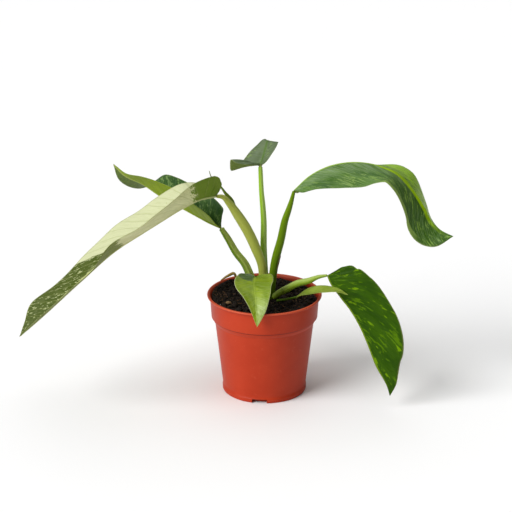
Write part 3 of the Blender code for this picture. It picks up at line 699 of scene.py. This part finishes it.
def build_rod(name, points, radii, material, flatness=0.85, sides=28, rings=90, groove=0.0, sheath=0.5):
    """Rod along a line, with a groove between two low wings that end part of the way up."""
    points = np.asarray(points, float)
    lean = points[-1] - points[0]
    spine = Spine(points, lean=lean)
    distance = np.linspace(0, spine.length, rings)
    share = distance / spine.length
    point, _, right, up = spine.read(distance)
    radius = spline(radii, share)
    angle = math.tau * np.arange(sides) / sides
    from_top = (angle - math.radians(90) + math.pi) % math.tau - math.pi
    dip = np.exp(-((from_top / 0.30) ** 2))
    wings = np.exp(-(((np.abs(from_top) - 0.62) / 0.22) ** 2))
    fade = np.clip((sheath - share) * 12, 0, 1)[:, None]
    shape = 1 - groove * dip * (0.45 + 0.55 * fade) + groove * 0.7 * wings * fade
    tip = np.sqrt(np.clip(1 - np.clip((share - 0.985) / 0.015, 0, 1) ** 2, 0.02, 1))
    size = (radius * tip)[:, None] * shape
    place = (right[:, None] * np.cos(angle)[None, :, None]
             + up[:, None] * (np.sin(angle) * flatness)[None, :, None])
    ring = point[:, None] + place * size[..., None]
    vertices = ring.reshape(-1, 3)
    faces = tube_faces(rings, sides).tolist()
    faces.append(list(range(sides))[::-1])
    faces.append(list(range((rings - 1) * sides, rings * sides)))
    along = (distance[:, None] * np.ones(sides)).ravel()
    turn = (angle[None, :] * np.ones(rings)[:, None]).ravel()
    line = np.stack((along, np.cos(turn), np.sin(turn)), 1)
    thing = mesh_object(name, vertices, faces, material, {"rod": line})
    thing.location.z = SOIL_LEVEL * MM
    return thing


def stalk_material(name, low, high, pale, length, seed=0.0, roughness=0.4):
    """Stalk skin with fine lengthwise lines, paler along its upper side: partly the stalk's own colour,
    partly a painted highlight.
    """
    s = Shades(name)
    along, side, up = s.attribute("rod")
    place = s.join(s.times(along, 0.03), s.times(side, 5.0), s.add(s.times(up, 5.0), seed))
    lines = s.noise(place, 1.0, 3.0, 0.6)
    patches = s.noise(s.join(s.times(along, 0.12), side, s.add(up, seed)), 1.0, 3.0, 0.6)
    colour = s.mix(s.step(along, 0.0, length), low, high)
    # the upper side is paler: partly the stalk's own colour, partly a painted highlight
    colour = s.mix(s.times(s.step(up, 0.1, 0.9), 0.55), colour, pale)
    colour = s.mix(s.times(s.step(lines, 0.45, 0.7), 0.4), colour, pale)
    colour = s.mix(s.times(s.step(patches, 0.55, 0.75), 0.25), colour, low)
    s.set("Base Color", colour)
    s.set("Roughness", s.add(roughness, s.sway(lines, 0.3)))
    s.set("Specular IOR Level", 0.1)
    s.bump(s.add(lines, s.times(patches, 0.4)), 0.0004, 0.4)
    return s.material


# Colours at the foot, at the top and along the upper side, which is partly a painted highlight, depth of the
# groove, and where its wings end
STALK_LOOKS = {
    "large_left": (srgb(158, 168, 66), srgb(164, 172, 70), srgb(186, 192, 112), 0.1, 0.62),
    "back_left": (srgb(100, 136, 0), srgb(106, 138, 4), srgb(206, 216, 120), 0.34, 0.95),
    "top": (srgb(132, 178, 10), srgb(138, 180, 24), srgb(184, 212, 112), 0.22, 0.80),
    "large_right": (srgb(72, 102, 0), srgb(90, 120, 0), srgb(108, 138, 0), 0.26, 0.93),
    "low_right": (srgb(118, 144, 30), srgb(120, 150, 26), srgb(176, 194, 110), 0.40, 0.82),
    "front": (srgb(104, 128, 32), srgb(124, 146, 44), srgb(140, 160, 60), 0.2, 0.5),
    "small_right": (srgb(70, 98, 8), srgb(84, 114, 14), srgb(104, 134, 40), 0.2, 0.5),
}


# ---------------------------------------------------------------- pot

def lathe(profile, steps):
    """Spin a profile of (radius, height) about the vertical axis into a closed body."""
    bm = bmesh.new()
    verts = [bm.verts.new((radius * MM, 0, height * MM)) for radius, height in profile]
    edges = [bm.edges.new(pair) for pair in zip(verts, verts[1:])]
    bmesh.ops.spin(bm, geom=verts + edges, axis=(0, 0, 1), cent=(0, 0, 0), angle=math.tau, steps=steps,
                   use_merge=True)
    bmesh.ops.remove_doubles(bm, verts=bm.verts, dist=0.001 * MM)
    bmesh.ops.recalc_face_normals(bm, faces=bm.faces)
    return bm


def pot_outline():
    """Outer radii and heights of the pot's wall, from the foot up to under the lip."""
    band_top = RIM_RADIUS - LIP_OVERHANG
    band_foot = band_top - BAND_DRAFT
    crease = POT_HEIGHT - BAND_HEIGHT
    shoulder = crease - SHOULDER_HEIGHT
    return ((BASE_RADIUS, FOOT_HEIGHT + FOOT_STEP), (band_foot - SHOULDER_INSET, shoulder),
            (band_foot, crease), (band_top, POT_HEIGHT - LIP_HEIGHT))


def pot_material():
    """Terracotta-coloured plastic: satin, with faint mottling, scuffs and soil smears inside, a painted
    shadow line under the band and a painted highlight on the lip.
    """
    s = Shades("pot_plastic")
    place = s.place()
    x, y, z = s.split(place)
    cloud = s.noise(place, 24.0, 4.0, 0.6)
    speck = s.noise(place, 260.0, 3.0, 0.6)
    colour = s.mix(s.step(cloud, 0.35, 0.7), srgb(174, 50, 18), srgb(182, 56, 24))
    colour = s.mix(s.times(s.step(speck, 0.62, 0.72), 0.25), colour, srgb(196, 84, 56))
    radius = s.math("SQRT", s.add(s.times(x, x), s.times(y, y)))
    inner = s.times(s.step(radius, 0.0505, 0.0495), s.step(z, 0.080, 0.085))
    smear = s.step(s.noise(place, 95.0, 4.0, 0.7), 0.47, 0.60)
    colour = s.mix(s.times(inner, 0.45), colour, srgb(160, 46, 34))
    colour = s.mix(s.times(s.times(inner, smear), 0.85), colour, srgb(60, 30, 20))
    # painted shadow: a dark line on the wall just under the band's foot, where the band overhangs the
    # shoulder
    crease = (POT_HEIGHT - BAND_HEIGHT) * MM
    line = s.times(s.step(z, crease - 0.0014, crease - 0.0006), s.step(z, crease + 0.0004, crease + 0.0001))
    colour = s.mix(s.times(line, s.times(s.step(radius, 0.045, 0.046), 0.75)), colour, srgb(104, 22, 8))
    # painted highlight: a lighter ring on the top of the lip
    lip = s.times(s.step(z, 0.0942, 0.0950), s.step(radius, 0.0505, 0.0512))
    colour = s.mix(s.times(lip, 0.5), colour, srgb(214, 100, 68))
    s.set("Base Color", colour)
    s.set("Roughness", s.add(0.45, s.sway(cloud, 0.2)))
    s.set("Specular IOR Level", 0.2)
    s.bump(s.add(s.times(speck, 0.5), s.noise(place, 900.0, 2.0, 0.5)), 0.0002, 0.25)
    return s.material


def build_pot():
    """Thin tapered pot with a stepped band, a rolled lip and slots round the foot."""
    wall = pot_outline()
    foot = BASE_RADIUS + FOOT_STEP
    outside = [(0, 0), (foot - 1.0, 0), (foot - 0.5, 0.1), (foot - 0.15, 0.4), (foot, 0.9),
               (foot + 0.1, FOOT_HEIGHT - 0.3), (foot - 0.05, FOOT_HEIGHT),
               (BASE_RADIUS + 0.02, FOOT_HEIGHT + 0.5)]
    (r0, z0), (r1, z1), (r2, z2), (r3, z3) = wall
    outside += [(r0 + (r1 - r0) * t, z0 + (z1 - z0) * t) for t in np.linspace(0.05, 0.97, 12)]
    outside += [(r1, z1 - 0.1), (r1 + 0.04, z1 + 0.12), (r1 + 0.4, z1 + 0.75), (r1 + 1.2, z1 + 1.7),
                (r2 - 1.2, z2 - 1.2), (r2 - 0.95, z2 - 0.3), (r2 - 0.9, z2), (r2 - 0.1, z2 + 0.02),
                (r2 + 0.03, z2 + 0.25), (r2 + 0.03, z2 + 0.9)]
    outside += [(r2 + (r3 - r2) * t + 0.03, z2 + (z3 - z2) * t) for t in np.linspace(0.1, 0.96, 8)]
    lip = [(r3 + 0.15, z3 - 0.1), (r3 + 0.6, z3 + 0.1), (RIM_RADIUS - 0.9, z3 + 0.2),
           (RIM_RADIUS - 0.3, z3 + 0.4), (RIM_RADIUS - 0.04, z3 + 0.8), (RIM_RADIUS, z3 + 1.1),
           (RIM_RADIUS - 0.15, z3 + 1.55),
           (RIM_RADIUS - 0.55, z3 + 1.85), (RIM_RADIUS - 1.1, POT_HEIGHT), (RIM_RADIUS - 1.9, POT_HEIGHT),
           (RIM_RADIUS - 2.3, POT_HEIGHT - 0.2), (RIM_RADIUS - 2.7, POT_HEIGHT - 0.8),
           (r3 - WALL + 0.25, POT_HEIGHT - 2.2), (r3 - WALL, POT_HEIGHT - 3.5)]
    inside = [(radius - WALL, height) for radius, height in reversed(wall[1:3])]
    inside += [(BASE_RADIUS - WALL, FLOOR), (0, FLOOR)]
    bm = lathe(outside + lip + inside, 144)
    mesh = bpy.data.meshes.new("pot_body")
    bm.to_mesh(mesh)
    bm.free()
    pot = add_object("pot_body", mesh)
    slots = bmesh.new()
    for index in range(SLOT_COUNT):
        angle = math.radians(SLOT_ANGLE + 360 / SLOT_COUNT * index)
        made = bmesh.ops.create_cube(slots, size=1)["verts"]
        bmesh.ops.scale(slots, verts=made, vec=(SLOT_DEPTH * MM, SLOT_WIDTH * MM, 2 * SLOT_HEIGHT * MM))
        bmesh.ops.translate(slots, verts=made, vec=((BASE_RADIUS + 2) * MM, 0, 0))
        turn = ((math.cos(angle), -math.sin(angle), 0), (math.sin(angle), math.cos(angle), 0), (0, 0, 1))
        for vert in made:
            vert.co = [sum(row[axis] * vert.co[axis] for axis in range(3)) for row in turn]
    cutter_mesh = bpy.data.meshes.new("slot_cutter")
    slots.to_mesh(cutter_mesh)
    slots.free()
    cutter = add_object("slot_cutter", cutter_mesh)
    cut = pot.modifiers.new("foot_slots", "BOOLEAN")
    cut.operation = "DIFFERENCE"
    cut.solver = "EXACT"
    cut.object = cutter
    graph = bpy.context.evaluated_depsgraph_get()
    finished = bpy.data.meshes.new_from_object(pot.evaluated_get(graph), depsgraph=graph)
    pot.modifiers.clear()
    pot.data = finished
    bpy.data.objects.remove(cutter, do_unlink=True)
    finished.shade_smooth()
    finished.set_sharp_from_angle(angle=math.radians(50))
    finished.materials.clear()
    finished.materials.append(pot_material())
    own(pot, "pot_plastic", "pot")


# ---------------------------------------------------------------- soil

def soil_height(x, y, waves):
    """Height of the soil surface over the level, in millimetres."""
    lump = sum(d * np.sin(0.30 * (a * x + b * y) + 3 * c) for a, b, c, d in waves)
    fine = sum(d * np.sin(1.1 * (b * x - a * y) + 5 * c) for a, b, c, d in waves)
    rise = 1.2 + 2.6 * ((x * x + y * y) / SOIL_RADIUS**2) ** 2
    return 0.8 * lump / 2 + 0.35 * fine / 2 - SOIL_TILT * (x - 0.4 * y) + rise


def soil_material(name, dark, light):
    """Moist crumbly potting mix."""
    s = Shades(name)
    place = s.place()
    clump = s.noise(place, 150.0, 5.0, 0.7)
    grain = s.noise(place, 900.0, 4.0, 0.7)
    colour = s.mix(s.step(clump, 0.4, 0.7), dark, light)
    colour = s.mix(s.times(s.step(grain, 0.6, 0.75), 0.6), colour, srgb(92, 66, 46))
    s.set("Base Color", colour)
    s.set("Roughness", s.add(0.75, s.times(grain, 0.2)))
    s.set("Specular IOR Level", 0.25)
    s.bump(s.add(clump, s.times(grain, 0.5)), 0.0015, 0.8)
    return s.material


def build_soil(draw):
    """Lumpy soil surface and the body below it, down to the pot's floor."""
    waves = draw.uniform(-1, 1, (8, 4))
    wall = pot_outline()
    (r2, z2), (r3, z3) = wall[2:]
    edge = r2 + (r3 - r2) * (SOIL_LEVEL - z2) / (z3 - z2) - WALL - 0.15
    rings = np.concatenate((np.linspace(0, 1, 60)[:-1] * (edge - 1.2), (edge - 1.2, edge - 0.5, edge)))
    sides = 160
    angle = math.tau * np.arange(sides) / sides
    x = rings[:, None] * np.cos(angle)
    y = rings[:, None] * np.sin(angle)
    z = SOIL_LEVEL + soil_height(x, y, waves) - 0.8 * (rings[:, None] > edge - 0.3)
    vertices = [np.stack((x, y, z), -1).reshape(-1, 3)]
    below = [(edge - 0.3, z2), (r2 - WALL - 0.5, z2 - 1), (wall[1][0] - WALL - 0.5, wall[1][1]),
             (BASE_RADIUS - WALL - 0.5, FLOOR + 0.3), (0.01, FLOOR + 0.3)]
    for radius, height in below:
        vertices.append(np.stack((radius * np.cos(angle), radius * np.sin(angle), 0 * angle + height), 1))
    vertices = np.concatenate(vertices)
    count = len(rings) + len(below)
    faces = np.roll(tube_faces(count, sides)[:, ::-1], 1, axis=1).tolist()
    faces.append(list(range((count - 1) * sides, count * sides)))
    mix = soil_material("soil_mix", srgb(22, 16, 12), srgb(48, 36, 28))
    own(mesh_object("soil_body", vertices, faces, mix), "soil_mix", "soil")
    return waves, edge


def build_crown(draw):
    """Knobbly top of the buried stem, between the feet of the stalks."""
    shape, faces = icosphere(5)
    knobs = sum(d * np.sin(5 * (shape @ (a, b, c)) + 4 * d) for a, b, c, d in draw.uniform(-1, 1, (6, 4)))
    shape = shape * (1 + 0.05 * knobs)[:, None] * (13, 12, 15) + (3, 1.5, SOIL_LEVEL - 11)
    skin = soil_material("crown_skin", srgb(40, 34, 16), srgb(74, 70, 34))
    own(mesh_object("crown_body", shape, faces.tolist(), skin), "crown_skin", "crown")


def scatter(name, material, draw, waves, edge, count, sizes, squash=(0.6, 1.0), sink=0.2, smooth=False,
            level=1):
    """Many small irregular lumps lying on the soil, joined as one piece."""
    shape, corner = icosphere(level)
    vertices, faces = [], []
    for index in range(count):
        radius = edge * math.sqrt(draw.uniform(0.0, 0.985))
        angle = draw.uniform(0, math.tau)
        x, y = radius * math.cos(angle), radius * math.sin(angle)
        size = sizes[0] + (sizes[1] - sizes[0]) * draw.random() ** 2.2
        x, y = x * min(1, (edge - size) / edge), y * min(1, (edge - size) / edge)
        lump = shape * draw.uniform(0.7, 1.25, (len(shape), 1)) * draw.uniform(*squash, 3) * size
        turn = np.linalg.qr(draw.normal(size=(3, 3)))[0]
        lump = lump @ turn.T
        z = SOIL_LEVEL + float(soil_height(np.array(x), np.array(y), waves)) + size * (0.5 - sink)
        vertices.append(lump + (x, y, z))
        faces.append(corner + index * len(shape))
    vertices, faces = np.concatenate(vertices), np.concatenate(faces).tolist()
    own(mesh_object(name, vertices, faces, material, smooth=smooth), "soil_mix")


def build_fibres(draw, waves, edge, count=240):
    """Thin dry root and coir fibres on the soil, joined as one piece."""
    sides, rings = 5, 9
    vertices, faces = [], []
    for index in range(count):
        radius = (edge - 4) * math.sqrt(draw.random())
        angle = draw.uniform(0, math.tau)
        start = np.array((radius * math.cos(angle), radius * math.sin(angle)))
        heading = draw.uniform(0, math.tau)
        bend = draw.normal(0, 0.25)
        length = draw.uniform(3, 11)
        thick = draw.uniform(0.12, 0.30)
        line = []
        place = start
        for step in range(rings):
            height = SOIL_LEVEL + float(soil_height(*place, waves)) + 0.7 + 0.5 * math.sin(step * 0.9 + index)
            line.append((*place, height))
            heading += bend
            place = place + np.array((math.cos(heading), math.sin(heading))) * length / rings
            if np.hypot(*place) > edge - 1:
                place = place * (edge - 1) / np.hypot(*place)
        line = np.array(line)
        forward = unit(np.gradient(line, axis=0) + 1e-6)
        right = unit(np.cross(forward, (0, 0, 1)))
        up = np.cross(right, forward)
        turn = math.tau * np.arange(sides) / sides
        taper = thick * np.sin(np.linspace(0.25, math.pi - 0.25, rings)) ** 0.5
        ring = (line[:, None] + (right[:, None] * np.cos(turn)[None, :, None]
                                 + up[:, None] * np.sin(turn)[None, :, None]) * taper[:, None, None])
        base = index * sides * rings
        vertices.append(ring.reshape(-1, 3))
        faces += (tube_faces(rings, sides) + base).tolist()
        faces.append([base + side for side in range(sides)][::-1])
        faces.append([base + (rings - 1) * sides + side for side in range(sides)])
    material = soil_material("fibre_brown", srgb(86, 60, 38), srgb(124, 92, 62))
    own(mesh_object("soil_fibres", np.concatenate(vertices), faces, material), "soil_mix")


def dry_material(name, dark, light, scale=120.0):
    """Dry papery or barky skin."""
    s = Shades(name)
    place = s.place()
    streak = s.noise(place, scale, 5.0, 0.65)
    grain = s.noise(place, scale * 6, 3.0, 0.6)
    s.set("Base Color", s.mix(s.step(s.add(streak, s.sway(grain, 0.4)), 0.35, 0.7), dark, light))
    s.set("Roughness", s.add(0.7, s.times(grain, 0.2)))
    s.bump(s.add(streak, grain), 0.0008, 0.6)
    return s.material


# ---------------------------------------------------------------- build

draw = np.random.default_rng(12)
build_pot()
waves, edge = build_soil(draw)
build_crown(np.random.default_rng(3))
crumb = soil_material("crumb_dark", srgb(20, 14, 10), srgb(44, 32, 24))
scatter("soil_crumbs", crumb, draw, waves, edge, 2600, (0.5, 1.7))
scatter("soil_clods", crumb, draw, waves, edge, 240, (1.5, 3.8), level=2, smooth=True)
bark = dry_material("bark_brown", srgb(52, 34, 22), srgb(96, 66, 42))
scatter("bark_bits", bark, draw, waves, edge, 120, (0.8, 2.4), squash=(0.3, 1.0))
grit = dry_material("grit_pale", srgb(150, 144, 134), srgb(206, 202, 194))
scatter("pale_grit", grit, draw, waves, edge, 26, (0.35, 0.8))
build_fibres(draw, waves, edge)

LEAF_SLOTS = {"large_left": "leaf_cream", "front": "leaf_lime", "small_right": "leaf_lime"}
for name, leaf in LEAVES.items():
    blade = build_blade("blade_" + name, leaf, leaf_material("leaf_" + name, {**COMMON, **LOOKS[name]}))
    own(blade, LEAF_SLOTS.get(name, "leaf_green"), "leaf_" + name)
    low, high, pale, groove, sheath = STALK_LOOKS[name]
    skin = stalk_material("stalk_" + name, low, high, pale, STALK_FADE, len(name))
    rod = build_rod("rod_" + name, leaf["stalk"], leaf["stalk_radii"], skin, groove=groove, sheath=sheath)
    own(rod, "stalk_pale" if name in ("large_left", "low_right") else "stalk_green", "stalk_" + name)

sheath = stalk_material("sheath_green", srgb(84, 104, 26), srgb(96, 116, 36), srgb(116, 134, 50), 40.0)
own(build_rod("sheath_point", ((-26, -4, 92), (-31, -4, 101), (-36, -4, 107), (-40, -4, 113),
                               (-45, -4, 119), (-49, -4, 123), (-51, -4, 129)),
              (0.8, 2.8, 2.6, 1.7, 1.0, 0.8, 0.5), sheath,
              flatness=0.6, sides=16, rings=40), "stalk_green", "sheath_tip")
tan = dry_material("dry_tan", srgb(150, 116, 44), srgb(196, 164, 72))
brown = dry_material("dry_brown", srgb(62, 42, 22), srgb(104, 76, 44))
own(build_rod("dry_scale", ((-25, 34, 2), (-27, 36, 9), (-29, 36, 13), (-35, 33.5, 11.5), (-42, 29, 8.6)),
              (1.0, 1.4, 1.8, 1.4, 0.5), tan,
              flatness=0.75, sides=20, rings=40), "dry_leaf", "dry_scale_leaf")
own(build_rod("dry_strip", ((11.5, -9, 33), (13, -9, 40), (15, -9, 48)), (0.7, 1.1, 0.6), brown,
              flatness=0.5, sides=12, rings=20), "dry_sheath", "dry_sheath_strip")
bark_tan = dry_material("bark_tan", srgb(108, 78, 46), srgb(184, 148, 104), 260.0)
own(build_rod("bark_flake", ((-37, -22, 4.6), (-33.5, -20.5, 5.4), (-30.5, -20, 4.6)), (0.9, 2.0, 0.8),
              bark_tan, flatness=0.7, sides=12, rings=16), "bark", "bark_chip")


# ---------------------------------------------------------------- floor, light and camera

def build_floor():
    """Wide pale floor."""
    mesh = bpy.data.meshes.new("floor")
    corners = [(x * FLOOR_REACH, y * FLOOR_REACH, 0) for x, y in ((-1, -1), (1, -1), (1, 1), (-1, 1))]
    mesh.from_pydata(corners, [], [(0, 1, 2, 3)])
    floor = add_object("floor", mesh)
    s = Shades("floor_white")
    s.set("Base Color", (0.93, 0.93, 0.93, 1.0))
    s.set("Roughness", 0.8)
    mesh.materials.append(s.material)
    floor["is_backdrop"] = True


def sun_light(name, place, strength, spread):
    """Even light from one side, as wide as spread in degrees, aimed at the middle of the scene."""
    data = bpy.data.lights.new(name, "SUN")
    data.energy = strength
    data.angle = math.radians(spread)
    lamp = add_object(name, data)
    lamp.location = place
    toward = -np.array(place, float)
    lamp.rotation_euler = (math.atan2(math.hypot(toward[0], toward[1]), -toward[2]), 0,
                           math.atan2(-toward[0], toward[1]))


build_floor()
sun_light("key", (-1.4, -0.9, 1.15), 3.2, 40)
sun_light("top", (-0.1, 0.5, 2.0), 1.4, 80)
world = bpy.data.worlds.new("studio")
world.use_nodes = True
world.node_tree.nodes["Background"].inputs["Color"].default_value = (1.0, 1.0, 1.0, 1.0)
world.node_tree.nodes["Background"].inputs["Strength"].default_value = 0.1
bpy.context.scene.world = world
bpy.context.scene.view_settings.view_transform = "Standard"

camera_data = bpy.data.cameras.new("camera")
camera_data.lens = CAMERA_LENS
camera_data.sensor_width = SENSOR_WIDTH
camera = add_object("camera", camera_data)
camera.location = CAMERA_PLACE
camera.rotation_euler = (math.radians(90 - CAMERA_PITCH), 0, 0)
bpy.context.scene.camera = camera

boxes = {"cad": CAD_BOX, "visual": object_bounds()}
{key: [[float(v) for v in corner] for corner in box] for key, box in boxes.items()}
